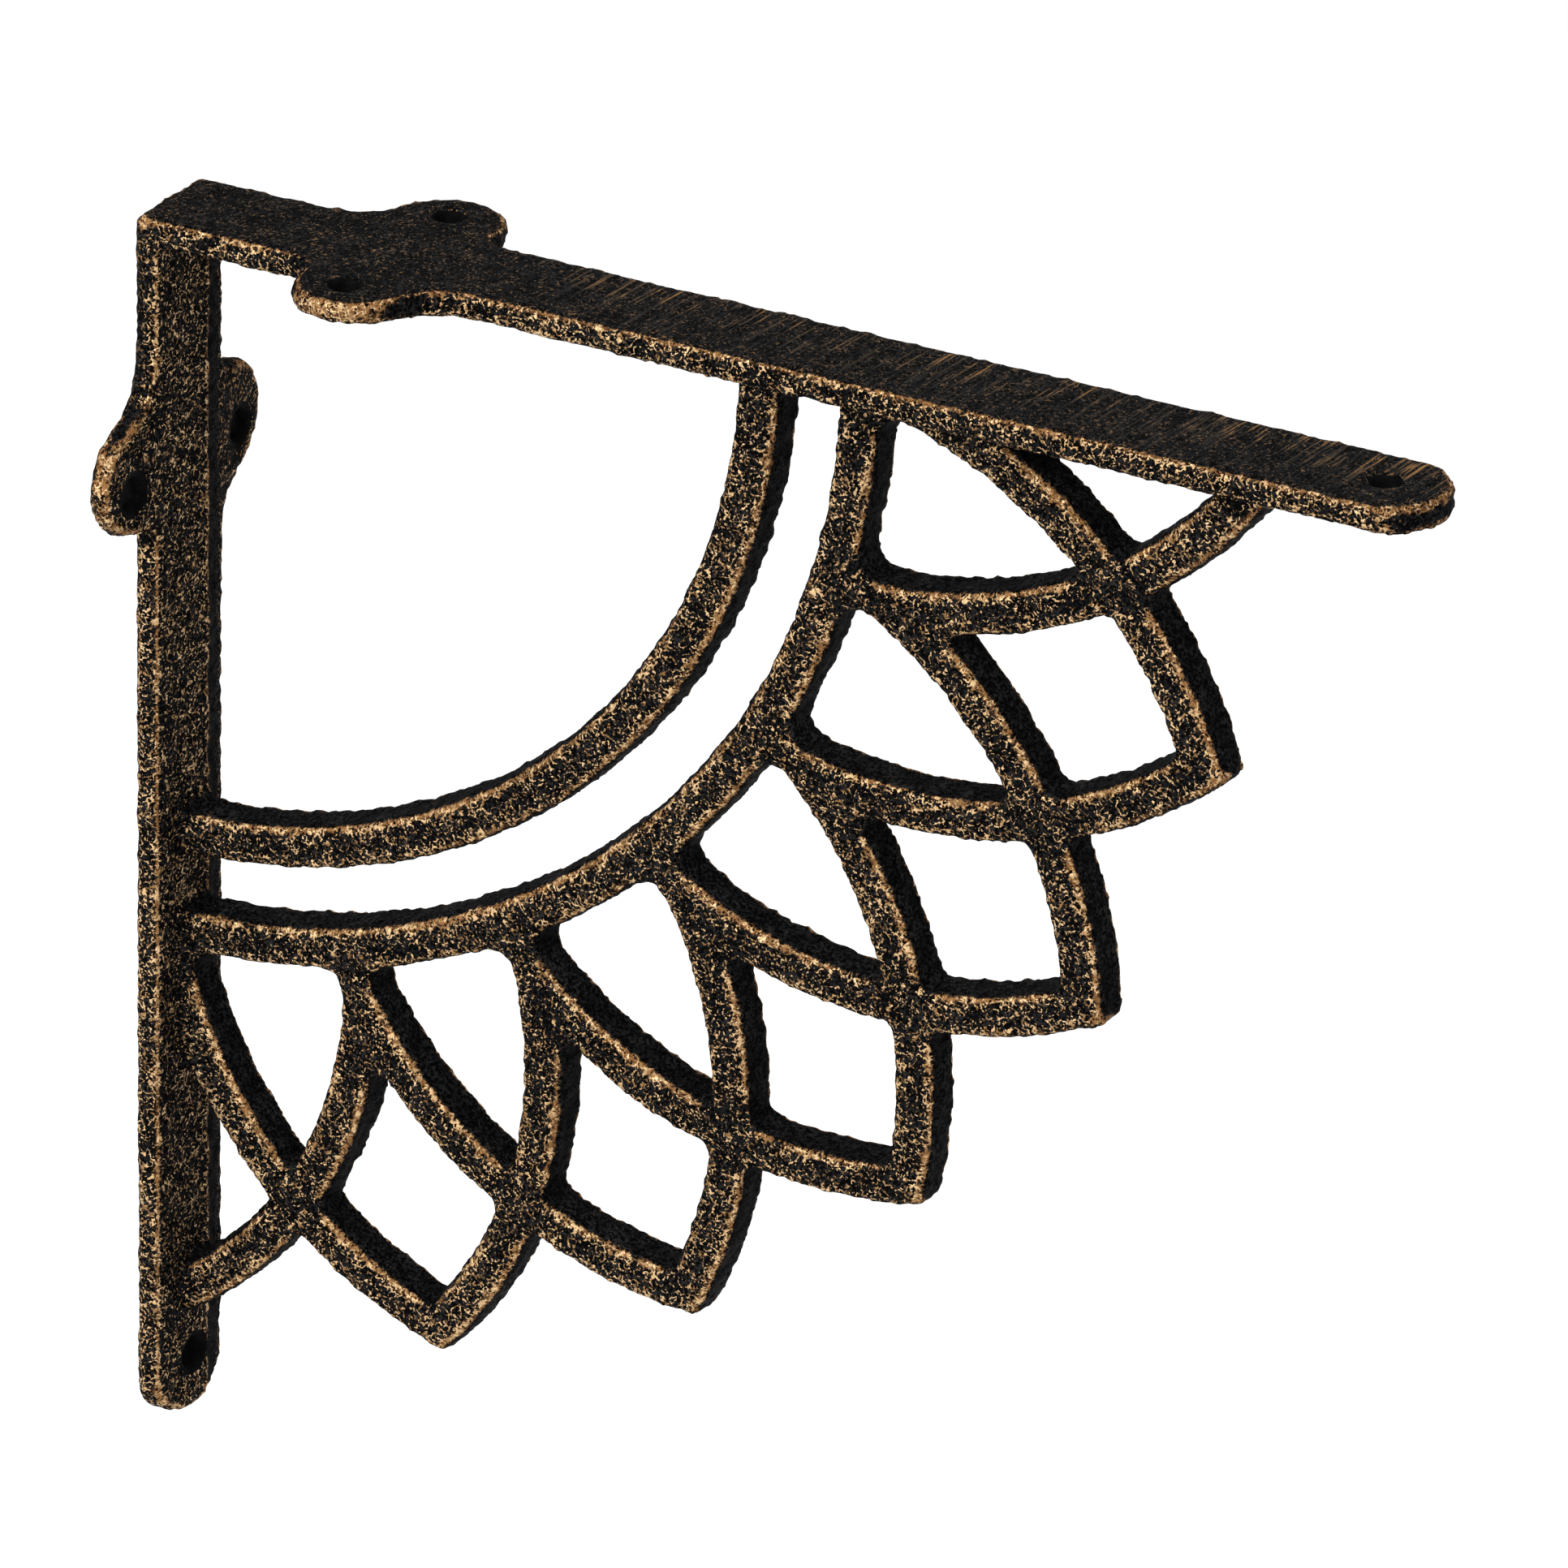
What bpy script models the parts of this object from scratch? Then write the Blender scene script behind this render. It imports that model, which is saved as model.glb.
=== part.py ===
"""Ornate cast iron shelf bracket: one casting with a wall leg, a shelf arm and an openwork quarter fan.

X runs out from the wall, Y across the bracket and Z up. The origin is on the wall face, midway between
the two upper wall screws.
"""
import math

import bmesh
import bpy
from mathutils import Vector

MM = 0.001

# Driving sizes of the two plates
ARM_LENGTH = 203.0 * MM
LEG_LENGTH = 196.0 * MM
PLATE_WIDTH = 18.0 * MM
FRONT_THICKNESS = 3.9 * MM
RIDGE_THICKNESS = 4.8 * MM
BACK_THICKNESS = 4.2 * MM
END_RADIUS = 10.0 * MM
END_CORNER = 4.0 * MM
EDGE_BEVEL = 0.6 * MM
BEVEL_ANGLE = math.radians(40)

# Screw ears and holes. Each ear is a wide lobe, with its hole a little off the lobe's centre, one short
# flank and one long one. A plate's first flare is the front ear's near flank and the back ear's far one.
EARS_FROM_CORNER = 38.8 * MM
EAR_OFFSET = 13.1 * MM
EAR_RADIUS = 8.6 * MM
ARM_FLARES = (3.0 * MM, 9.0 * MM)
LEG_FLARES = (9.0 * MM, 3.0 * MM)
ARM_HOLES_FROM_CORNER = 38.2 * MM
LEG_HOLES_FROM_CORNER = 40.5 * MM
HOLE_OFFSET = 14.8 * MM
END_HOLE_FROM_TIP = 9.2 * MM
HOLE_RADIUS = 2.4 * MM
SINK_RADIUS = 3.5 * MM

# The openwork fan, drawn about one centre near the corner
FAN_CENTRE_X = 3.9 * MM
FAN_CENTRE_BELOW_TOP = 4.3 * MM
FAN_FRONT_Y = -3.3 * MM
FAN_BACK_Y = 3.3 * MM
INNER_RING_RADIUS = 94.5 * MM
OUTER_RING_RADIUS = 110.3 * MM
INNER_RING_WIDTH = 6.6 * MM
OUTER_RING_WIDTH = 6.2 * MM
ARCH_COUNT = 7
ARCH_FOOT_RADIUS = 113.0 * MM
ARCH_TIP_RADIUS = 171.1 * MM
ARCH_HALF_WIDTH = 30.9 * MM
ARCH_BAR_WIDTH = 6.3 * MM

# The casting's rounded front edges, its draft towards the back, and its small corner rounds
SHOULDER_DEPTH = 0.8 * MM
SHOULDER_STEP = 0.6 * MM
DRAFT_STEP = 0.35 * MM
WIDE_ROUND = 2.6 * MM
FOOT_ROUND = 3.4 * MM
SIDE_ROUND = 1.6 * MM
TIP_ROUND = 0.9 * MM
BED_DEPTH = 0.5 * MM

# Where the search for each corner starts: rough distances from the fan's centre, and one angle
TEARDROP_TIP = 143.0 * MM
KITE_FOOT = 131.0 * MM
KITE_WAIST = 151.0 * MM
KITE_TIP = 166.0 * MM
VALLEY = 157.0 * MM
POINT = 175.0 * MM
TEARDROP_SPREAD = math.radians(5)
SEARCH_ROUNDS = 30

# Facets
ARC_STEPS = 7
RING_STEPS = 18
ROUND_STEPS = 3
EAR_STEPS = 10
END_STEPS = 8
HOLE_STEPS = 16
CUTTER_MARGIN = 1.0 * MM
TINY = 0.01 * MM

IRON_COLOUR = (0.045, 0.036, 0.027, 1)
IRON_METALLIC = 0.6
IRON_ROUGHNESS = 0.62

TOP_Z = LEG_HOLES_FROM_CORNER
RIDGE_Y = FAN_BACK_Y
HALF_WIDTH = PLATE_WIDTH / 2
ARCH_ANGLE = math.radians(90) / (ARCH_COUNT - 1)


class Line:
    """A straight stretch of an outline; the region lies on the side that the normal points to."""

    def __init__(self, point, normal):
        self.point = Vector(point)
        self.normal = Vector(normal).normalized()

    def moved(self, step):
        return Line(self.point + self.normal * step, self.normal)

    def level(self, place):
        return (place - self.point).dot(self.normal), self.normal

    def foot(self, place):
        return place - self.normal * self.level(place)[0]

    def between(self, start, end):
        return [start, end]


class Arc:
    """A round stretch of an outline; side is +1 for a region inside the circle and -1 for one outside."""

    def __init__(self, centre, radius, side=1, steps=ARC_STEPS):
        self.centre = Vector(centre)
        self.radius = radius
        self.side = side
        self.steps = steps

    def moved(self, step):
        return Arc(self.centre, self.radius - self.side * step, self.side, self.steps)

    def level(self, place):
        away = place - self.centre
        return self.side * (self.radius - away.length), -self.side * away.normalized()

    def foot(self, place):
        return self.centre + (place - self.centre).normalized() * self.radius

    def between(self, start, end):
        first = math.atan2(start.y - self.centre.y, start.x - self.centre.x)
        last = math.atan2(end.y - self.centre.y, end.x - self.centre.x)
        turn = self.side * ((self.side * (last - first)) % math.tau)
        angles = [first + turn * i / self.steps for i in range(self.steps + 1)]
        return [self.centre + self.radius * Vector((math.cos(a), math.sin(a))) for a in angles]


def meeting(edge, other, guess):
    """The point that lies on both edges, found by stepping down the two normals from a first guess."""
    place = Vector(guess)
    for _ in range(SEARCH_ROUNDS):
        level_a, normal_a = edge.level(place)
        level_b, normal_b = other.level(place)
        cross = normal_a.x * normal_b.y - normal_a.y * normal_b.x
        place = place - Vector((level_a * normal_b.y - level_b * normal_a.y,
                                level_b * normal_a.x - level_a * normal_b.x)) / cross
    return place


def outline(edges, corners, step=0.0):
    """Points round a region, anticlockwise. Corner i joins edge i to the next, as (guess, round).

    A positive round is cut off an outward corner and a negative one fills a notch. A positive step
    draws the whole region smaller by that much.
    """
    edges = [edge.moved(step) for edge in edges]
    arrivals, departures, rounds = [], [], []
    for index, (guess, radius) in enumerate(corners):
        edge = edges[index]
        following = edges[(index + 1) % len(edges)]
        centre = meeting(edge.moved(radius), following.moved(radius), guess)
        arrivals.append(edge.foot(centre))
        departures.append(following.foot(centre))
        corner = Arc(centre, abs(radius), 1 if radius > 0 else -1, ROUND_STEPS)
        rounds.append(corner.between(arrivals[-1], departures[-1]) if radius else [centre])
    points = []
    for index, edge in enumerate(edges):
        points += edge.between(departures[index - 1], arrivals[index])[1:-1]
        points += rounds[index]
    return points


def stacked(name, loops):
    """A closed solid through loops of equal length, capped at both ends."""
    mesh = bmesh.new()
    rows = [[mesh.verts.new(point) for point in loop] for loop in loops]
    for lower, upper in zip(rows, rows[1:]):
        for index in range(len(lower)):
            after = (index + 1) % len(lower)
            mesh.faces.new((lower[index], lower[after], upper[after], upper[index]))
    mesh.faces.new(list(reversed(rows[0])))
    mesh.faces.new(rows[-1])
    bmesh.ops.recalc_face_normals(mesh, faces=mesh.faces)
    return placed(name, mesh)


def placed(name, mesh):
    """Turn a bmesh into an object of the scene."""
    data = bpy.data.meshes.new(name)
    mesh.to_mesh(data)
    mesh.free()
    body = bpy.data.objects.new(name, data)
    bpy.context.scene.collection.objects.link(body)
    return body


def hidden(body):
    """Mark an object as a guide for a Boolean, which isn't part of the bracket."""
    body.hide_render = True
    body.display_type = "WIRE"
    return body


def boolean(body, operation, other):
    """Join or cut a body with another one."""
    modifier = body.modifiers.new(other.name, "BOOLEAN")
    modifier.operation = operation
    modifier.object = other
    modifier.solver = "EXACT"


def thickness(y):
    """The plates are cast thickest at the ridge, where the two halves of the mould met."""
    if y < RIDGE_Y:
        slope = (RIDGE_THICKNESS - FRONT_THICKNESS) / (RIDGE_Y + HALF_WIDTH)
    else:
        slope = (RIDGE_THICKNESS - BACK_THICKNESS) / (HALF_WIDTH - RIDGE_Y)
    return RIDGE_THICKNESS - slope * abs(y - RIDGE_Y)


def flank(hand, across, flare):
    """The hollow corner where an ear meets the plate's edge; hand is +1 on the side away from the corner."""
    return (EARS_FROM_CORNER + hand * (EAR_RADIUS + flare), across * (HALF_WIDTH + flare)), -flare


def plate_outline(length, flares):
    """A plate seen flat: along it from the corner, and across it. Two screw ears and a rounded end."""
    end_centre = length - END_RADIUS
    first, second = flares
    edges = [
        Line((0, -HALF_WIDTH), (0, 1)),
        Arc((EARS_FROM_CORNER, -EAR_OFFSET), EAR_RADIUS, steps=EAR_STEPS),
        Line((0, -HALF_WIDTH), (0, 1)),
        Arc((end_centre, 0), END_RADIUS, steps=END_STEPS),
        Line((0, HALF_WIDTH), (0, -1)),
        Arc((EARS_FROM_CORNER, EAR_OFFSET), EAR_RADIUS, steps=EAR_STEPS),
        Line((0, HALF_WIDTH), (0, -1)),
        Line((0, 0), (1, 0)),
    ]
    corners = [
        flank(-1, -1, first),
        flank(1, -1, second),
        ((length - END_CORNER, -HALF_WIDTH + END_CORNER), END_CORNER),
        ((length - END_CORNER, HALF_WIDTH - END_CORNER), END_CORNER),
        flank(1, 1, first),
        flank(-1, 1, second),
        ((0, HALF_WIDTH), 0.0),
        ((0, -HALF_WIDTH), 0.0),
    ]
    return outline(edges, corners)


def on_leg(along, across, height):
    return Vector((height, across, TOP_Z - along))


def on_arm(along, across, height):
    return Vector((along, across, TOP_Z - height))


def plate(length, flares, place):
    """One plate's mesh, open where it is mitred to the other at the corner."""
    mesh = bmesh.new()
    points = plate_outline(length, flares)
    face = mesh.faces.new([mesh.verts.new((point.x, point.y, 0)) for point in points])
    bmesh.ops.bisect_plane(mesh, geom=[face, *mesh.edges, *mesh.verts],
                           plane_co=(0, RIDGE_Y, 0), plane_no=(0, 1, 0))
    raised = bmesh.ops.extrude_face_region(mesh, geom=mesh.faces[:], use_keep_orig=True)["geom"]
    for vert in (item for item in raised if isinstance(item, bmesh.types.BMVert)):
        vert.co.z = thickness(vert.co.y)
        if abs(vert.co.x) < TINY:
            vert.co.x = vert.co.z
    mitre = [f for f in mesh.faces if all(abs(v.co.x - v.co.z) < TINY for v in f.verts)]
    bmesh.ops.delete(mesh, geom=mitre, context="FACES")
    for vert in mesh.verts:
        vert.co = place(*vert.co)
    data = bpy.data.meshes.new("plate")
    mesh.to_mesh(data)
    mesh.free()
    return data


def angle_plates():
    """The wall leg and the shelf arm as one bent plate with a mitred corner."""
    mesh = bmesh.new()
    mesh.from_mesh(plate(LEG_LENGTH, LEG_FLARES, on_leg))
    mesh.from_mesh(plate(ARM_LENGTH, ARM_FLARES, on_arm))
    bmesh.ops.remove_doubles(mesh, verts=mesh.verts, dist=TINY)
    bmesh.ops.recalc_face_normals(mesh, faces=mesh.faces)
    return placed("shelf_bracket", mesh)


def fan_point(radius, angle):
    """A point of the fan by its distance from the centre and its angle from straight down."""
    return Vector((FAN_CENTRE_X + radius * math.sin(angle),
                   TOP_Z - FAN_CENTRE_BELOW_TOP - radius * math.cos(angle)))


def arch_side(number, hand, side, widen):
    """One curved side of a pointed arch; hand is +1 for the side nearer the arm."""
    angle = number * ARCH_ANGLE
    rise = ARCH_TIP_RADIUS - ARCH_FOOT_RADIUS
    radius = (rise ** 2 + ARCH_HALF_WIDTH ** 2) / (2 * ARCH_HALF_WIDTH)
    offset = radius - ARCH_HALF_WIDTH
    foot = fan_point(ARCH_FOOT_RADIUS, angle)
    across = Vector((math.cos(angle), math.sin(angle)))
    return Arc(foot - across * hand * offset, radius + widen, side)


def inner_side(number, hand):
    """The side of an arch as seen from an opening inside it."""
    return arch_side(number, hand, 1, -ARCH_BAR_WIDTH / 2)


def outer_side(number, hand):
    """The side of an arch as seen from an opening outside it."""
    return arch_side(number, hand, -1, ARCH_BAR_WIDTH / 2)


def ring_edge(radius, side, steps=RING_STEPS):
    return Arc(fan_point(0, 0), radius, side, steps)


LEG_BED = Line((BED_DEPTH + FRONT_THICKNESS - SHOULDER_DEPTH, 0), (1, 0))
ARM_BED = Line((0, TOP_Z - BED_DEPTH - FRONT_THICKNESS + SHOULDER_DEPTH), (0, -1))
BED_X = LEG_BED.point.x
BED_Z = ARM_BED.point.y


def quarter_opening():
    """The large opening between the corner and the inner ring."""
    reach = INNER_RING_RADIUS - INNER_RING_WIDTH / 2
    edges = [LEG_BED, ring_edge(reach, 1), ARM_BED]
    corners = [
        ((BED_X + WIDE_ROUND, BED_Z - reach + WIDE_ROUND), WIDE_ROUND),
        ((BED_X + reach - WIDE_ROUND, BED_Z - WIDE_ROUND), WIDE_ROUND),
        ((BED_X + SIDE_ROUND, BED_Z - SIDE_ROUND), SIDE_ROUND),
    ]
    return edges, corners


def ring_slot():
    """The curved slot between the two rings."""
    low = INNER_RING_RADIUS + INNER_RING_WIDTH / 2
    high = OUTER_RING_RADIUS - OUTER_RING_WIDTH / 2
    edges = [LEG_BED, ring_edge(high, 1), ARM_BED, ring_edge(low, -1)]
    corners = [
        ((BED_X + WIDE_ROUND, BED_Z - high + WIDE_ROUND), WIDE_ROUND),
        ((BED_X + high - WIDE_ROUND, BED_Z - WIDE_ROUND), WIDE_ROUND),
        ((BED_X + low + WIDE_ROUND, BED_Z - WIDE_ROUND), WIDE_ROUND),
        ((BED_X + WIDE_ROUND, BED_Z - low - WIDE_ROUND), WIDE_ROUND),
    ]
    return edges, corners


def teardrop(number):
    """The opening that two neighbouring arches share, from the outer ring up to where they cross."""
    foot = OUTER_RING_RADIUS + OUTER_RING_WIDTH / 2
    middle = (number + 0.5) * ARCH_ANGLE
    edges = [ring_edge(foot, -1, ARC_STEPS), inner_side(number + 1, -1), inner_side(number, 1)]
    corners = [
        (fan_point(foot + FOOT_ROUND, middle - TEARDROP_SPREAD), FOOT_ROUND),
        (fan_point(TEARDROP_TIP, middle), TIP_ROUND),
        (fan_point(foot + FOOT_ROUND, middle + TEARDROP_SPREAD), FOOT_ROUND),
    ]
    return edges, corners


def kite(number):
    """The four-sided opening that one arch has to itself, under its point."""
    angle = number * ARCH_ANGLE
    edges = [outer_side(number - 1, 1), inner_side(number, -1),
             inner_side(number, 1), outer_side(number + 1, -1)]
    corners = [
        (fan_point(KITE_WAIST, angle - ARCH_ANGLE / 2), SIDE_ROUND),
        (fan_point(KITE_TIP, angle), TIP_ROUND),
        (fan_point(KITE_WAIST, angle + ARCH_ANGLE / 2), SIDE_ROUND),
        (fan_point(KITE_FOOT, angle), SIDE_ROUND),
    ]
    return edges, corners


def half_kites():
    """The two end arches are cut in half by the plates, so each has a three-sided opening."""
    last = ARCH_COUNT - 1
    at_leg = ([LEG_BED, inner_side(0, 1), outer_side(1, -1)],
              [(Vector((BED_X + SIDE_ROUND, fan_point(KITE_TIP, 0).y)), TIP_ROUND),
               (fan_point(KITE_WAIST, ARCH_ANGLE / 2), SIDE_ROUND),
               (Vector((BED_X + SIDE_ROUND, fan_point(KITE_FOOT, 0).y)), SIDE_ROUND)])
    at_arm = ([ARM_BED, outer_side(last - 1, 1), inner_side(last, -1)],
              [(Vector((fan_point(KITE_FOOT, math.pi / 2).x, BED_Z - SIDE_ROUND)), SIDE_ROUND),
               (fan_point(KITE_WAIST, math.pi / 2 - ARCH_ANGLE / 2), SIDE_ROUND),
               (Vector((fan_point(KITE_TIP, math.pi / 2).x, BED_Z - SIDE_ROUND)), TIP_ROUND)])
    return [at_leg, at_arm]


def fan_rim():
    """The scalloped outer edge of the fan, from the leg round to the arm, bedded in both plates."""
    last = ARCH_COUNT - 1
    edges = [arch_side(0, 1, 1, ARCH_BAR_WIDTH / 2)]
    corners = []
    for number in range(1, last):
        corners.append((fan_point(VALLEY, (number - 0.5) * ARCH_ANGLE), -SIDE_ROUND))
        edges.append(arch_side(number, -1, 1, ARCH_BAR_WIDTH / 2))
        corners.append((fan_point(POINT, number * ARCH_ANGLE), TIP_ROUND))
        edges.append(arch_side(number, 1, 1, ARCH_BAR_WIDTH / 2))
    corners.append((fan_point(VALLEY, (last - 0.5) * ARCH_ANGLE), -SIDE_ROUND))
    edges.append(arch_side(last, -1, 1, ARCH_BAR_WIDTH / 2))
    bed = FRONT_THICKNESS / 2
    edges += [Line((0, TOP_Z - bed), (0, -1)), Line((bed, 0), (1, 0))]
    corners += [(Vector((fan_point(POINT, math.pi / 2).x, TOP_Z - bed)), 0.0),
                (Vector((bed, TOP_Z - bed)), 0.0),
                (Vector((bed, fan_point(POINT, 0).y)), 0.0)]
    return edges, corners


def drafted(name, region, levels):
    """A solid through one region drawn at several depths, as (depth, step) pairs."""
    edges, corners = region
    loops = [[Vector((p.x, depth, p.y)) for p in outline(edges, corners, step)] for depth, step in levels]
    return stacked(name, loops)


def fan():
    """The openwork fan: a scalloped slab less every opening, with softened front edges and draft."""
    shoulder = FAN_FRONT_Y + SHOULDER_DEPTH
    slab = hidden(drafted("fan", fan_rim(), [
        (FAN_FRONT_Y, SHOULDER_STEP), (shoulder, 0.0), (FAN_BACK_Y, -DRAFT_STEP)]))
    ahead = (FAN_FRONT_Y - SHOULDER_DEPTH, -2 * SHOULDER_STEP)  # the shoulder's slope carried on
    behind = (FAN_BACK_Y + CUTTER_MARGIN, DRAFT_STEP)
    regions = [quarter_opening(), ring_slot()]
    regions += [teardrop(number) for number in range(ARCH_COUNT - 1)]
    regions += [kite(number) for number in range(1, ARCH_COUNT - 1)]
    regions += half_kites()
    for number, region in enumerate(regions, 1):
        cutter = drafted(f"opening_{number:02}", region, [ahead, (shoulder, 0.0), behind])
        boolean(slab, "DIFFERENCE", hidden(cutter))
    return slab


def screw_hole(name, along, across, place):
    """A clear hole that opens into a countersink on the inner face of the plate."""
    surface = thickness(across)
    heights = [(-CUTTER_MARGIN, HOLE_RADIUS),
               (surface - (SINK_RADIUS - HOLE_RADIUS), HOLE_RADIUS),
               (surface + CUTTER_MARGIN, SINK_RADIUS + CUTTER_MARGIN)]
    loops = []
    for height, radius in heights:
        angles = [math.tau * i / HOLE_STEPS for i in range(HOLE_STEPS)]
        loops.append([place(along + radius * math.cos(a), across + radius * math.sin(a), height)
                      for a in angles])
    return hidden(stacked(name, loops))


def cast_iron():
    """Black iron with a dry, rough skin."""
    material = bpy.data.materials.new("black_cast_iron")
    material.use_nodes = True
    shader = material.node_tree.nodes["Principled BSDF"]
    shader.inputs["Base Color"].default_value = IRON_COLOUR
    shader.inputs["Metallic"].default_value = IRON_METALLIC
    shader.inputs["Roughness"].default_value = IRON_ROUGHNESS
    return material


def bracket():
    """The whole casting, with its screw holes cut last."""
    body = angle_plates()
    bevel = body.modifiers.new("softened edges", "BEVEL")
    bevel.width = EDGE_BEVEL
    bevel.segments = 1
    bevel.limit_method = "ANGLE"
    bevel.angle_limit = BEVEL_ANGLE
    boolean(body, "UNION", fan())
    for name, place, ears, length in (("leg", on_leg, LEG_HOLES_FROM_CORNER, LEG_LENGTH),
                                      ("arm", on_arm, ARM_HOLES_FROM_CORNER, ARM_LENGTH)):
        spots = [(ears, -HOLE_OFFSET), (ears, HOLE_OFFSET), (length - END_HOLE_FROM_TIP, 0.0)]
        for number, (along, across) in enumerate(spots, 1):
            boolean(body, "DIFFERENCE", screw_hole(f"{name}_hole_{number}", along, across, place))
    body.data.materials.append(cast_iron())
    return body


for old in list(bpy.data.objects):
    bpy.data.objects.remove(old, do_unlink=True)
bracket()
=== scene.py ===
"""Looks of an ornate cast iron shelf bracket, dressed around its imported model.

Everything is in metres, in the bracket's own frame: X out from the wall, Y across it and Z up.
"""
import math

import bmesh
import bpy
from mathutils import Matrix, Vector


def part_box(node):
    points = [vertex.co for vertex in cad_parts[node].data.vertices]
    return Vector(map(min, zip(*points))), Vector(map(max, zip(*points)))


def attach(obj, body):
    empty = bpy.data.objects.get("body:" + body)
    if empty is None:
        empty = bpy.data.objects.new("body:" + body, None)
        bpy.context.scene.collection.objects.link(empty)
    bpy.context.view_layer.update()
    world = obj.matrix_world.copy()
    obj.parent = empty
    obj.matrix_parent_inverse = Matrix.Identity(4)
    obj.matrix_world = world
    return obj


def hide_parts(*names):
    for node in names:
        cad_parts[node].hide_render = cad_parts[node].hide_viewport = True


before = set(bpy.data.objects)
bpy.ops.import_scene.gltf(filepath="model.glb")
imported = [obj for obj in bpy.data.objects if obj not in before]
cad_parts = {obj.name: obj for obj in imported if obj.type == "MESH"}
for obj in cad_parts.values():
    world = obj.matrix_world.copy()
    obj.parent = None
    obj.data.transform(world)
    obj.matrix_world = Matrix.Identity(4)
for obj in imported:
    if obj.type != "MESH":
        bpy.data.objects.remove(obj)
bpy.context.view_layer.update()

# The bracket is one iron casting, poured in sand: a wall leg, a shelf arm and an openwork quarter fan. Screws
# hold it through countersunk holes in both plates. Its skin keeps the sand's grain, pits and knocked arrises
# under black paint, with bronze brushed nearly dry over it. The wall face and the shelf face are ground.
MM = 0.001
LOWEST, HIGHEST = (Vector(corner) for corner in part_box("shelf_bracket"))
PLATE_DEPTH = 5.5 * MM
SINK_FLOOR = 1.2 * MM
HOLE_RADIUS = 2.4 * MM
SINK_RADIUS = 3.5 * MM
RIM_BLUR = 0.02
ARM_SCREWS = ((38.2 * MM, -14.8 * MM), (38.2 * MM, 14.8 * MM), (193.8 * MM, 0.0))
LEG_SCREWS = ((-14.8 * MM, 0.0), (14.8 * MM, 0.0), (0.0, -146.3 * MM))


def plug(tree, socket, value):
    """Give a socket a link or a plain value."""
    if isinstance(value, bpy.types.NodeSocket):
        tree.links.new(value, socket)
    else:
        socket.default_value = value


def add(tree, kind, sockets=(), **settings):
    """A new node with its settings and its inputs, which are given by name or by number."""
    node = tree.nodes.new(kind)
    for name, value in settings.items():
        setattr(node, name, value)
    for name, value in dict(sockets).items():
        plug(tree, node.inputs[name], value)
    return node


def calc(tree, operation, *values):
    """The result of one Math node."""
    node = add(tree, "ShaderNodeMath", enumerate(values), operation=operation)
    return node.outputs[0]


def total(tree, *values):
    """The sum of several sockets or numbers."""
    result = values[0]
    for value in values[1:]:
        result = calc(tree, "ADD", result, value)
    return result


def product(tree, *values):
    """The product of several sockets or numbers."""
    result = values[0]
    for value in values[1:]:
        result = calc(tree, "MULTIPLY", result, value)
    return result


def weighted(tree, *terms):
    """The sum of several values, each given with the level it counts from and its weight."""
    return total(tree, *[product(tree, calc(tree, "SUBTRACT", value, level), weight)
                         for value, level, weight in terms])


def remainder(tree, share):
    """What a share leaves of 1."""
    return calc(tree, "SUBTRACT", 1.0, share)


def eased(tree, value, low, high, start=0.0, end=1.0):
    """Value carried smoothly from low..high to start..end, and held flat beyond."""
    node = add(tree, "ShaderNodeMapRange", {"Value": value, "From Min": low, "From Max": high,
                                            "To Min": start, "To Max": end}, interpolation_type="SMOOTHSTEP")
    return node.outputs["Result"]


def split(tree, vector):
    """The X, Y and Z of a vector, by name."""
    return add(tree, "ShaderNodeSeparateXYZ", {"Vector": vector}).outputs


MIDDLE = 0.5


def mottle(tree, place, size, seed, detail=2.0, distortion=0.0):
    """Smooth random values about MIDDLE, with lumps of the given size."""
    scale = calc(tree, "DIVIDE", 1.0, size) if isinstance(size, bpy.types.NodeSocket) else 1.0 / size
    node = add(tree, "ShaderNodeTexNoise", {"Vector": place, "W": seed, "Scale": scale, "Detail": detail,
                                            "Distortion": distortion}, noise_dimensions="4D")
    return node.outputs[0]


def screw_holes(tree, place, widened=1.0):
    """1 inside the screw holes and 0 beyond their rims, which are wider where they are countersunk."""
    spot = split(tree, place)
    arm_depth = calc(tree, "SUBTRACT", HIGHEST.z, spot["Z"])
    leg_depth = calc(tree, "SUBTRACT", spot["X"], LOWEST.x)
    inside = 0.0
    for screws, first, second, depth in ((ARM_SCREWS, spot["X"], spot["Y"], arm_depth),
                                         (LEG_SCREWS, spot["Y"], spot["Z"], leg_depth)):
        near_plate = calc(tree, "LESS_THAN", depth, PLATE_DEPTH)
        sunk = calc(tree, "GREATER_THAN", depth, SINK_FLOOR)
        rim = product(tree, eased(tree, sunk, 0.0, 1.0, HOLE_RADIUS, SINK_RADIUS), widened)
        for screw in screws:
            squares = [calc(tree, "POWER", calc(tree, "ABSOLUTE", calc(tree, "SUBTRACT", here, there)), 2.0)
                       for here, there in zip((first, second), screw)]
            away = calc(tree, "DIVIDE", calc(tree, "SQRT", total(tree, *squares)), rim)
            in_rim = eased(tree, away, 1.0 - RIM_BLUR, 1.0 + RIM_BLUR, 1.0, 0.0)
            inside = calc(tree, "MAXIMUM", inside, product(tree, in_rim, near_plate))
    return inside
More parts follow.
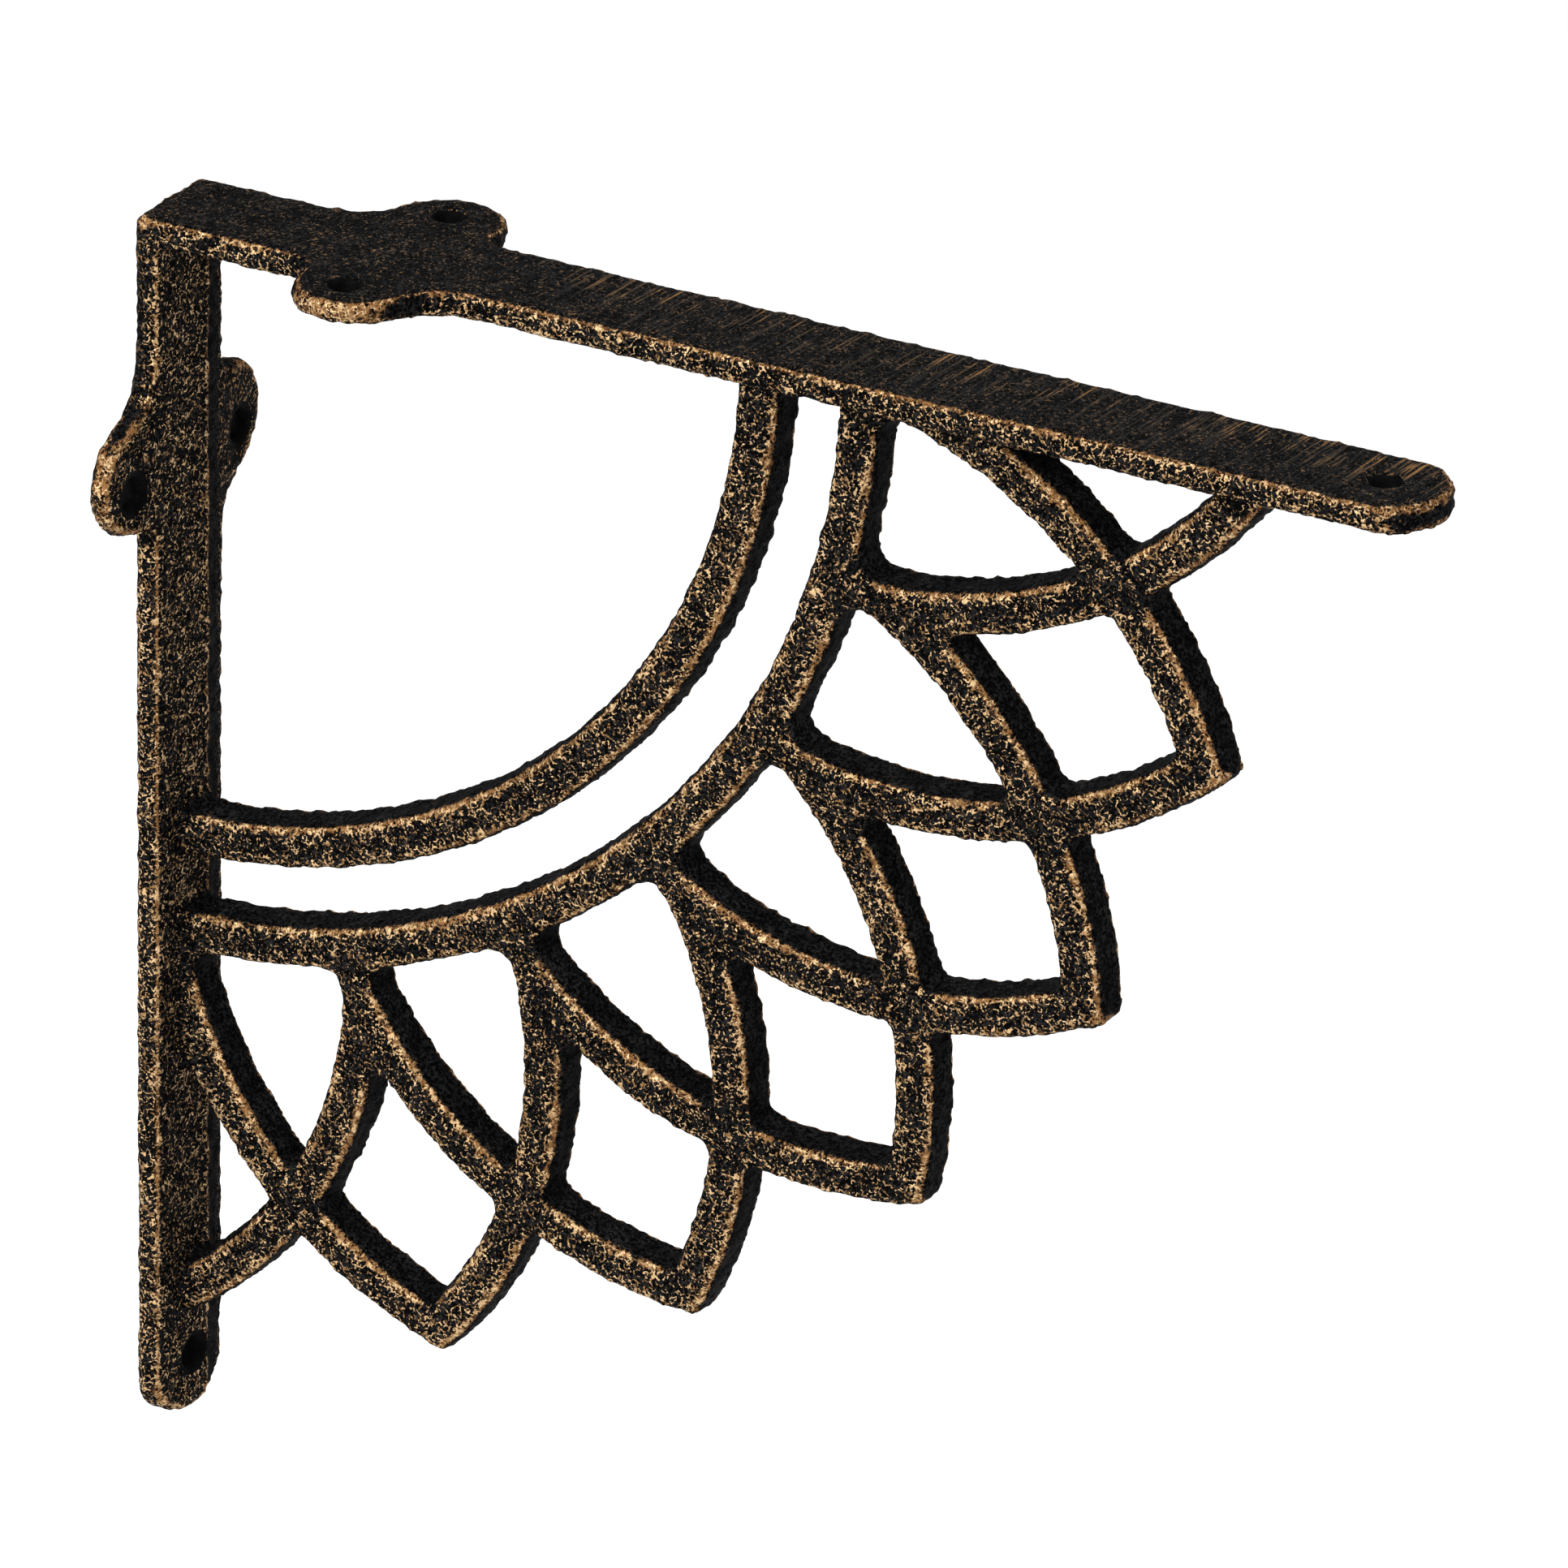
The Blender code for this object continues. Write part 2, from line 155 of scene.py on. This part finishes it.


# The paint is black. The bronze catches on the arrises and high grains of the faces that the brush reaches,
# as flecks and short strokes, with a film of copper along the arrises, and leaves the hollows and the bars'
# sides black. On the arrises that face up or out, the bronze and copper are stronger as a painted highlight.
# Grey specks on the bare paint's grains are painted glints. The grinder's fine lines cross the arm's top.
# A range is low, high, start and end, as in eased.

# The tones, from bare paint to the palest bronze, with where the middle ones lie between them.
BLACK_PAINT = (0.0010, 0.0008, 0.0008, 1)
# A grey for painted glints on the bare paint's grains and a faint painted reflection in the screw holes. The
# weakest bronze passes through it too.
GLINT_GREY = (0.0092, 0.0095, 0.0103, 1)
BROWN_FLECK = (0.034, 0.0255, 0.0180, 1)
BRONZE = (0.185, 0.098, 0.036, 1)
PALE_BRONZE = (0.53, 0.360, 0.190, 1)
MIXED_TONES = ((0.16, GLINT_GREY), (0.38, BROWN_FLECK), (0.73, BRONZE))
COPPER_FILM = (0.245, 0.115, 0.041, 1)

# The lumps of each pattern. A stroke lies along the winding line where its pattern is at its middle.
FLECK_SIZE = 0.38 * MM
STROKE_SIZE = 0.90 * MM
BLOB_SIZE = 1.6 * MM
CLUMP_SIZE = 4.5 * MM
TINT_SIZE = 1.1 * MM
GRIT_SIZE = 0.44 * MM
STROKE_RANGE = (0.015, 0.125, 1.0, 0.0)

# The grinder's lines: how close, how skew and how long, and how they fade in along and across the arm.
GRIND_SPACING = 0.42 * MM
GRIND_SKEW = math.radians(5)
GRIND_STRETCH = 30.0
GRIND_RANGE = (0.50, 0.66)
GRIND_ALONG_RANGE = (40.0 * MM, 80.0 * MM)
GRIND_ACROSS_RANGE = (-5.0 * MM, 5.0 * MM, 0.35, 1.0)
GRIND_CLUMP_RANGE = (0.35, 0.62, 0.30, 0.72)

# How far each pattern and each kind of wear lifts a spot of the skin into the bronze.
FLECK_LIFT = 2.8
BLOB_LIFT = 0.38
STROKE_LIFT = 0.62
REACHED_LIFT = 0.42
EDGE_LIFT = 0.42
CLUMP_LIFT = 0.36
RISE_LIFT = 0.35
BRUSHED_RANGE = (0.06, 0.37)
WORN_RANGE = (0.0, 0.8, 0.12, 1.0)
TINT_RANGE = (0.30, 0.66, 0.68, 1.06)

# Painted glints: grey specks on the grains of the bare paint, standing out more where the skin rises as light
# catching the tops of lumps, and a faint, flat painted reflection inside the screw holes.
GLINT_GRAIN_RANGE = (0.42, 0.64)
GLINT_RISE_RANGE = (0.38, 0.62, 0.6, 1.15)
PAINTED_REFLECTION_IN_HOLES = 0.2
GLINT_STRENGTH = 0.19

# The copper film lies on arrises and fills in between the bronze flecks there. It is stronger on the arrises
# that face up or out, as a painted highlight.
FILM_ON_EDGE = 0.80
FILM_WHERE_REACHED = 0.20
FILM_ON_STROKE = 0.25
FILM_IN_CLUMP = 0.80
FILM_RANGE = (0.335, 0.835)
FILM_UNDER_BRONZE_RANGE = (0.35, 0.80, 0.85, 0.0)
FILM_FLECK_RANGE = (0.38, 0.46)

# How metallic and how smooth the bronze is beside the paint, and the fine relief that both carry.
BRONZE_METAL = 0.55
BRONZE_SHINE = 0.12
ROUGHNESS_RANGE = (0.3, 0.7, 0.46, 0.66)
PAINT_GLOSS = 0.006
BRONZE_RELIEF = 0.33
GRIND_RELIEF = 0.3
GRIT_DEPTH = 0.30 * MM


def painted_iron():
    """Black painted iron with bronze brushed over it, as one material."""
    material = bpy.data.materials.new("black_iron_brushed_bronze")
    material.use_nodes = True
    tree = material.node_tree
    shader = tree.nodes["Principled BSDF"]
    place = add(tree, "ShaderNodeTexCoord").outputs["Object"]
    edge, reached, ground, rise = [
        add(tree, "ShaderNodeAttribute", attribute_name=name).outputs["Fac"]
        for name in ("edge", "reached", "ground", "rise")]
    bare = remainder(tree, screw_holes(tree, place))
    edge = product(tree, edge, bare)
    reached = product(tree, reached, bare)

    fleck = mottle(tree, place, FLECK_SIZE, seed=1.0, detail=0.6, distortion=0.8)
    winding = mottle(tree, place, STROKE_SIZE, seed=2.0, detail=0.0, distortion=0.4)
    stroke = eased(tree, calc(tree, "ABSOLUTE", calc(tree, "SUBTRACT", winding, MIDDLE)), *STROKE_RANGE)
    blob = mottle(tree, place, BLOB_SIZE, seed=7.0, detail=0.5)
    clump = mottle(tree, place, CLUMP_SIZE, seed=3.0, detail=3.0)
    tint = mottle(tree, place, TINT_SIZE, seed=4.0)
    grit = mottle(tree, place, GRIT_SIZE, seed=5.0, detail=1.0)

    skewed = add(tree, "ShaderNodeMapping", {"Vector": place, "Rotation": (0, 0, -GRIND_SKEW),
                                             "Scale": (1.0, GRIND_STRETCH, 1.0)}, vector_type="TEXTURE")
    scratches = mottle(tree, skewed.outputs[0], GRIND_SPACING, seed=6.0, detail=1.0)
    spot = split(tree, place)
    lines = product(tree, product(tree, eased(tree, scratches, *GRIND_RANGE), ground),
                    product(tree, eased(tree, spot["X"], *GRIND_ALONG_RANGE),
                            eased(tree, spot["Y"], *GRIND_ACROSS_RANGE)))
    scored = product(tree, lines, bare, eased(tree, clump, *GRIND_CLUMP_RANGE))

    high = weighted(tree, (fleck, MIDDLE, FLECK_LIFT), (blob, MIDDLE, BLOB_LIFT),
                    (stroke, MIDDLE, STROKE_LIFT))
    cover = weighted(tree, (reached, 1.0, REACHED_LIFT), (edge, 0.0, EDGE_LIFT),
                     (clump, MIDDLE, CLUMP_LIFT), (rise, MIDDLE, RISE_LIFT))
    brushed = eased(tree, total(tree, high, cover), *BRUSHED_RANGE)
    worn = calc(tree, "MAXIMUM", reached, edge)
    bronze = product(tree, brushed, eased(tree, worn, *WORN_RANGE), eased(tree, tint, *TINT_RANGE))

    # Painted glints: grey specks on the bare paint's grains, stronger on the skin's rises, and a flat painted
    # reflection inside the screw holes.
    grain = calc(tree, "MAXIMUM", product(tree, eased(tree, grit, *GLINT_GRAIN_RANGE), bare),
                 product(tree, remainder(tree, bare), PAINTED_REFLECTION_IN_HOLES))
    painted_glints = product(tree, grain, GLINT_STRENGTH, eased(tree, rise, *GLINT_RISE_RANGE))
    strength = calc(tree, "MAXIMUM", calc(tree, "MAXIMUM", bronze, scored), painted_glints)
    tones = add(tree, "ShaderNodeValToRGB", {"Fac": strength})
    ramp = tones.color_ramp
    ramp.elements[0].color = BLACK_PAINT
    ramp.elements[1].color = PALE_BRONZE
    for position, colour in MIXED_TONES:
        ramp.elements.new(position).color = colour

    copper = weighted(tree, (edge, 0.0, FILM_ON_EDGE), (reached, 0.0, FILM_WHERE_REACHED),
                      (stroke, MIDDLE, FILM_ON_STROKE), (clump, MIDDLE, FILM_IN_CLUMP))
    film = product(tree, eased(tree, copper, *FILM_RANGE), eased(tree, strength, *FILM_UNDER_BRONZE_RANGE),
                   eased(tree, fleck, *FILM_FLECK_RANGE))
    painted = add(tree, "ShaderNodeMix", data_type="RGBA")
    plug(tree, painted.inputs["Factor"], film)
    plug(tree, painted.inputs[6], tones.outputs["Color"])
    plug(tree, painted.inputs[7], COPPER_FILM)
    plug(tree, shader.inputs["Base Color"], painted.outputs[2])
    plug(tree, shader.inputs["Metallic"], product(tree, bronze, BRONZE_METAL))
    plug(tree, shader.inputs["Roughness"],
         calc(tree, "SUBTRACT", eased(tree, grit, *ROUGHNESS_RANGE), product(tree, bronze, BRONZE_SHINE)))
    shader.inputs["Specular IOR Level"].default_value = PAINT_GLOSS

    relief = total(tree, product(tree, high, BRONZE_RELIEF), grit, product(tree, lines, GRIND_RELIEF))
    bump = add(tree, "ShaderNodeBump", {"Height": product(tree, relief, bare), "Distance": GRIT_DEPTH})
    plug(tree, shader.inputs["Normal"], bump.outputs["Normal"])
    return material


# The skin's even mesh carries the relief of the sand, and four values of it tell the paint where the bracket
# is worn, with a painted highlight on the arrises that face up or out, where the brush reached it, where it
# is ground and how high it stands. Nicks lie on the arrises alone. A turn says how squarely a face looks
# along an axis, and a bend how sharply the skin curves outwards.
VOXEL = 0.72 * MM
SKIN_SIZES = {
    "Fullness": 0.12 * MM, "Swell Depth": 0.30 * MM, "Swell Size": 15.0 * MM,
    "Lump Depth": 0.70 * MM, "Lump Size": 3.2 * MM,
    "Grain Depth": 0.95 * MM, "Grain Size": 1.4 * MM,
    "Pit Depth": 0.30 * MM, "Pit Radius": 1.1 * MM, "Pit Spacing": 6.0 * MM,
    "Nick Depth": 0.55 * MM, "Nick Radius": 1.7 * MM, "Nick Spacing": 10.0 * MM,
    "Ground Share": 0.35, "Seed": 7.0,
}
# Pits and nicks lie in a share of their random cells. Holes are left smooth, and filled in a little.
PIT_SHARE = 0.5
PIT_FALL = -0.6
NICK_SHARE = 0.6
NICK_BEND = (0.02, 0.2)
SMOOTHING_STEPS = 1
BEND_STEPS = 5
HOLE_TIGHTENING = 0.14 * MM
HOLE_SURROUND = 1.4

# Which parts of the skin are ground faces, the plates' inner faces, the fronts and the arrises.
FACE_DEPTH = 0.35 * MM
GROUND_TURN = (0.85, 0.97)
INNER_TURN = (0.6, 0.9)
FRONT_TURN = (0.35, 0.85)
ARRIS_BEND = (0.15, 0.40)
ARRIS_SPREAD_STEPS = 5
NEAR_ARRIS_RANGE = (0.0, 0.38, 0.66, 0.97)

# The mould's seam runs along the plates' inner faces. A plain strip lies behind it, which the brush missed.
SEAM_Y = 3.3 * MM
SEAM_HALF_WIDTH = 0.7 * MM
SEAM_HEIGHT = 0.25 * MM
SEAM_RUB = 0.7
STRIP_RANGE = (5.5 * MM, 7.6 * MM, 0.0, 0.8)

# How much of the bronze reaches the back and the plates, where it is rubbed brighter or was missed, and how
# the painted highlight keeps the full arris value on arrises facing up or out and less on the others.
BACK_REACH = 0.8
INNER_REACH = 0.72
GROUND_REACH = 0.40
HIGHLIGHT_SIDE_RANGE = (-0.5, 0.35, 0.30, 1.0)
RUBBED_EAR_RANGE = (-13.0 * MM, -17.0 * MM, 0.0, 0.6)
MISSED_SHARE = 0.6
MISSED_LEG_OUT = (LOWEST.x + 0.5 * MM, LOWEST.x + 3.0 * MM, 1.0, 0.0)
MISSED_LEG_UP = (HIGHEST.z - 48.0 * MM, HIGHEST.z - 33.6 * MM)
MISSED_TIP = (HIGHEST.x - 9.0 * MM, HIGHEST.x - 2.0 * MM)


def facing(tree, way, turn, side=1, full=1.0):
    """Full where the normal's part along an axis is past a turn on that side, and 0 short of it."""
    start, end = turn
    return eased(tree, way, side * start, side * end, 0.0, full)


def blurred(tree, value, kind, steps):
    """A value of the skin averaged with its neighbours', some steps over."""
    blur = add(tree, "GeometryNodeBlurAttribute", {"Iterations": steps}, data_type=kind)
    plug(tree, blur.inputs["Value"], value)
    return blur.outputs[0]


def hollows(tree, place, radius, spacing, seed, share):
    """Round hollows of one radius in a share of random cells: 1 at a hollow's middle, 0 outside it."""
    cells = add(tree, "ShaderNodeTexVoronoi", {"Vector": place, "W": seed, "Randomness": 1.0,
                                               "Scale": calc(tree, "DIVIDE", 1.0, spacing)},
                voronoi_dimensions="4D")
    reach = calc(tree, "DIVIDE", radius, spacing)
    bowl = eased(tree, cells.outputs["Distance"], 0.0, reach, 1.0, 0.0)
    pick = split(tree, cells.outputs["Color"])["X"]
    return product(tree, bowl, calc(tree, "LESS_THAN", pick, share))


def sand_cast_skin():
    """The node tree that roughens an even mesh into a sand casting's skin and marks its wear."""
    tree = bpy.data.node_groups.new("sand cast skin", "GeometryNodeTree")
    sockets = tree.interface
    sockets.new_socket("Geometry", in_out="INPUT", socket_type="NodeSocketGeometry")
    sockets.new_socket("Geometry", in_out="OUTPUT", socket_type="NodeSocketGeometry")
    for name in SKIN_SIZES:
        sockets.new_socket(name, in_out="INPUT", socket_type="NodeSocketFloat")
    sockets.new_socket("Finish", in_out="INPUT", socket_type="NodeSocketMaterial")
    given = add(tree, "NodeGroupInput").outputs
    seed = given["Seed"]

    place = add(tree, "GeometryNodeInputPosition").outputs[0]
    normal = add(tree, "GeometryNodeInputNormal").outputs[0]
    softened = blurred(tree, place, "FLOAT_VECTOR", SMOOTHING_STEPS)
    around = blurred(tree, place, "FLOAT_VECTOR", BEND_STEPS)
    apart = add(tree, "ShaderNodeVectorMath", {0: place, 1: around}, operation="SUBTRACT")
    outwards = add(tree, "ShaderNodeVectorMath", {0: apart.outputs[0], 1: normal}, operation="DOT_PRODUCT")
    bend = calc(tree, "DIVIDE", outwards.outputs["Value"], VOXEL)
    way = split(tree, normal)
    spot = split(tree, place)

    holes = screw_holes(tree, place)
    around_holes = screw_holes(tree, place, HOLE_SURROUND)
    on_top = product(tree, calc(tree, "MAXIMUM", facing(tree, way["Z"], GROUND_TURN), around_holes),
                     calc(tree, "GREATER_THAN", spot["Z"], HIGHEST.z - FACE_DEPTH))
    on_wall = product(tree, calc(tree, "MAXIMUM", facing(tree, way["X"], GROUND_TURN, side=-1), around_holes),
                      calc(tree, "LESS_THAN", spot["X"], LOWEST.x + FACE_DEPTH))
    ground = calc(tree, "MAXIMUM", on_top, on_wall)
    in_arm = calc(tree, "GREATER_THAN", spot["Z"], HIGHEST.z - PLATE_DEPTH)
    in_leg = calc(tree, "LESS_THAN", spot["X"], LOWEST.x + PLATE_DEPTH)
    inner = calc(tree, "MAXIMUM", product(tree, facing(tree, way["X"], INNER_TURN), in_leg),
                 product(tree, facing(tree, way["Z"], INNER_TURN, side=-1), in_arm))
    inner = calc(tree, "MAXIMUM", inner, product(tree, around_holes, remainder(tree, ground)))
    from_seam = calc(tree, "ABSOLUTE", calc(tree, "SUBTRACT", spot["Y"], SEAM_Y))
    seam = product(tree, inner, eased(tree, from_seam, 0.0, SEAM_HALF_WIDTH, 1.0, 0.0))

    missed_leg = product(tree, eased(tree, spot["X"], *MISSED_LEG_OUT),
                         eased(tree, spot["Z"], *MISSED_LEG_UP))
    missed = calc(tree, "MAXIMUM", missed_leg, eased(tree, spot["X"], *MISSED_TIP))
    front = product(tree, facing(tree, way["Y"], FRONT_TURN, side=-1),
                    remainder(tree, product(tree, missed, MISSED_SHARE)))
    back = facing(tree, way["Y"], FRONT_TURN, full=BACK_REACH)
    arris = eased(tree, bend, *ARRIS_BEND)
    near_arris = eased(tree, blurred(tree, arris, "FLOAT", ARRIS_SPREAD_STEPS), *NEAR_ARRIS_RANGE)
    brushed = product(tree, calc(tree, "MAXIMUM", front, back), near_arris)
    beside_strip = calc(tree, "MAXIMUM", calc(tree, "LESS_THAN", spot["Y"], SEAM_Y),
                        eased(tree, spot["Y"], *STRIP_RANGE))
    on_plates = calc(tree, "MAXIMUM", product(tree, inner, beside_strip, INNER_REACH),
                     product(tree, ground, GROUND_REACH))
    reached = calc(tree, "MAXIMUM", brushed, on_plates)

    # Painted highlight: arrises that face up or out (+X, +Z) keep their full edge value and the others under
    # a third, as if lit from the upper right. The rest of the edge value is wear on the arrises, the seam and
    # the ear.
    highlight_side = eased(tree, total(tree, way["X"], way["Z"]), *HIGHLIGHT_SIDE_RANGE)
    rubbed_ear = product(tree, front, eased(tree, spot["Y"], *RUBBED_EAR_RANGE))
    flat_rim = product(tree, around_holes, ground)
    edge = calc(tree, "MAXIMUM", product(tree, arris, highlight_side), product(tree, seam, SEAM_RUB))
    edge = product(tree, calc(tree, "MAXIMUM", edge, rubbed_ear), remainder(tree, flat_rim))

    swell, lump, grain = [
        calc(tree, "SUBTRACT", mottle(tree, place, given[name + " Size"], seed, detail=1.0), MIDDLE)
        for name in ("Swell", "Lump", "Grain")]
    pits = hollows(tree, place, given["Pit Radius"], given["Pit Spacing"], seed, PIT_SHARE)
    nicks = product(tree, eased(tree, bend, *NICK_BEND),
                    hollows(tree, place, given["Nick Radius"], given["Nick Spacing"], seed, NICK_SHARE))
    rough = total(tree, product(tree, lump, given["Lump Depth"]), product(tree, grain, given["Grain Depth"]),
                  product(tree, pits, product(tree, given["Pit Depth"], -1.0)))
    kept = remainder(tree, product(tree, ground, remainder(tree, given["Ground Share"])))
    height = total(tree, given["Fullness"],
                   product(tree, rough, kept, remainder(tree, holes)),
                   product(tree, holes, HOLE_TIGHTENING),
                   product(tree, swell, given["Swell Depth"], kept),
                   product(tree, seam, SEAM_HEIGHT),
                   product(tree, nicks, product(tree, given["Nick Depth"], -1.0)))
    rise = total(tree, MIDDLE, total(tree, lump, grain, product(tree, pits, PIT_FALL)))

    mesh = given["Geometry"]
    for name, value in (("edge", edge), ("reached", reached), ("ground", ground), ("rise", rise)):
        store = add(tree, "GeometryNodeStoreNamedAttribute", {"Geometry": mesh, "Name": name},
                    data_type="FLOAT", domain="POINT")
        plug(tree, store.inputs["Value"], value)
        mesh = store.outputs[0]
    offset = add(tree, "ShaderNodeVectorMath", {0: normal, "Scale": height}, operation="SCALE")
    rounded = add(tree, "ShaderNodeMix", data_type="VECTOR")
    plug(tree, rounded.inputs["Factor"], holes)
    plug(tree, rounded.inputs[4], softened)
    plug(tree, rounded.inputs[5], place)
    moved = add(tree, "GeometryNodeSetPosition", {"Geometry": mesh, "Position": rounded.outputs[1],
                                                  "Offset": offset.outputs[0]})
    smooth = add(tree, "GeometryNodeSetShadeSmooth", {"Geometry": moved.outputs[0]})
    whole = add(tree, "GeometryNodeRealizeInstances", {"Geometry": smooth.outputs[0]})
    dressed = add(tree, "GeometryNodeSetMaterial", {"Geometry": whole.outputs[0],
                                                    "Material": given["Finish"]})
    add(tree, "NodeGroupOutput", {0: dressed.outputs[0]})
    return tree


MERGE_DISTANCE = 0.002 * MM


def merged_copy(node):
    """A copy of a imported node's mesh with its loose triangles joined up."""
    mesh = bmesh.new()
    mesh.from_mesh(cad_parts[node].data)
    bmesh.ops.remove_doubles(mesh, verts=mesh.verts, dist=MERGE_DISTANCE)
    data = bpy.data.meshes.new(node)
    mesh.to_mesh(data)
    mesh.free()
    return data


rough_casting = bpy.data.objects.new("rough_casting", merged_copy("shelf_bracket"))
bpy.context.scene.collection.objects.link(rough_casting)
even = rough_casting.modifiers.new("even mesh", "REMESH")
even.mode = "VOXEL"
even.voxel_size = VOXEL
skin = rough_casting.modifiers.new("sand cast skin", "NODES")
skin.node_group = sand_cast_skin()
SKIN_VALUES = {**SKIN_SIZES, "Finish": painted_iron()}
for item in skin.node_group.interface.items_tree:
    if item.in_out == "INPUT" and item.name in SKIN_VALUES:
        skin[item.identifier] = SKIN_VALUES[item.name]
evaluated = rough_casting.evaluated_get(bpy.context.evaluated_depsgraph_get())
bracket = bpy.data.objects.new("bracket_casting", bpy.data.meshes.new_from_object(evaluated))
bpy.context.scene.collection.objects.link(bracket)
bpy.data.objects.remove(rough_casting)
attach(bracket, "root")
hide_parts("shelf_bracket")

# The floor is one flat sheet of pale, matt paper. It lies some way below the bracket, which hangs clear of
# it as it would on its wall.
FLOOR_SIZE = 30.0
FLOOR_DROP = 0.35
FLOOR_WHITE = (0.93, 0.93, 0.93, 1)
FLOOR_ROUGHNESS = 0.9
FLOOR_GLOSS = 0.1

floor_mesh = bpy.data.meshes.new("pale_floor")
floor_corners = [(x * FLOOR_SIZE / 2, y * FLOOR_SIZE / 2, LOWEST.z - FLOOR_DROP)
                 for x, y in ((-1, -1), (1, -1), (1, 1), (-1, 1))]
floor_mesh.from_pydata(floor_corners, [], [(0, 1, 2, 3)])
floor = bpy.data.objects.new("pale_floor", floor_mesh)
bpy.context.scene.collection.objects.link(floor)
pale = bpy.data.materials.new("pale_paper")
pale.use_nodes = True
paper = pale.node_tree.nodes["Principled BSDF"]
paper.inputs["Base Color"].default_value = FLOOR_WHITE
paper.inputs["Roughness"].default_value = FLOOR_ROUGHNESS
paper.inputs["Specular IOR Level"].default_value = FLOOR_GLOSS
floor_mesh.materials.append(pale)

# Soft studio light: a white tent all round, one broad soft box from the camera's left and a weaker one
# high on its right. Each soft box has its name, its place, its width and its power in watts.
TENT_WHITE = (1, 1, 1, 1)
TENT_STRENGTH = 0.88
SOFT_BOXES = (
    ("key_box", (-0.45, -1.30, 0.90), 0.8, 34.0),
    ("fill_box", (1.1, -0.5, 1.3), 0.9, 9.0),
)

tent = bpy.data.worlds.new("white_tent")
tent.use_nodes = True
tent.node_tree.nodes["Background"].inputs["Color"].default_value = TENT_WHITE
tent.node_tree.nodes["Background"].inputs["Strength"].default_value = TENT_STRENGTH
bpy.context.scene.world = tent
bpy.context.scene.view_settings.view_transform = "Standard"
lit_spot = (LOWEST + HIGHEST) / 2
for name, where, size, watts in SOFT_BOXES:
    lamp = bpy.data.lights.new(name, "AREA")
    lamp.size = size
    lamp.energy = watts
    box = bpy.data.objects.new(name, lamp)
    box.location = where
    box.rotation_euler = (Vector(where) - lit_spot).to_track_quat("Z", "Y").to_euler()
    bpy.context.scene.collection.objects.link(box)

# The camera stands at the photograph's view: front right and above, far off with a long lens, and rolled by
# a little over a degree.
AIM = Vector((102.4, 0.0, -27.7)) * MM
AZIMUTH = math.radians(27.73)
ELEVATION = math.radians(25.44)
ROLL = math.radians(1.43)
DISTANCE = 1605.4 * MM
LENS_MM = 259.3
SENSOR_MM = 36.0
FARTHEST_SEEN = 100.0

towards = Vector((math.sin(AZIMUTH) * math.cos(ELEVATION),
                  -math.cos(AZIMUTH) * math.cos(ELEVATION),
                  math.sin(ELEVATION)))
camera = bpy.data.objects.new("camera", bpy.data.cameras.new("camera"))
camera.data.lens = LENS_MM
camera.data.sensor_width = SENSOR_MM
camera.data.clip_end = FARTHEST_SEEN
turn = towards.to_track_quat("Z", "Y").to_matrix() @ Matrix.Rotation(ROLL, 3, "Z")
camera.matrix_world = Matrix.LocRotScale(AIM + towards * DISTANCE, turn, None)
bpy.context.scene.collection.objects.link(camera)
bpy.context.scene.camera = camera
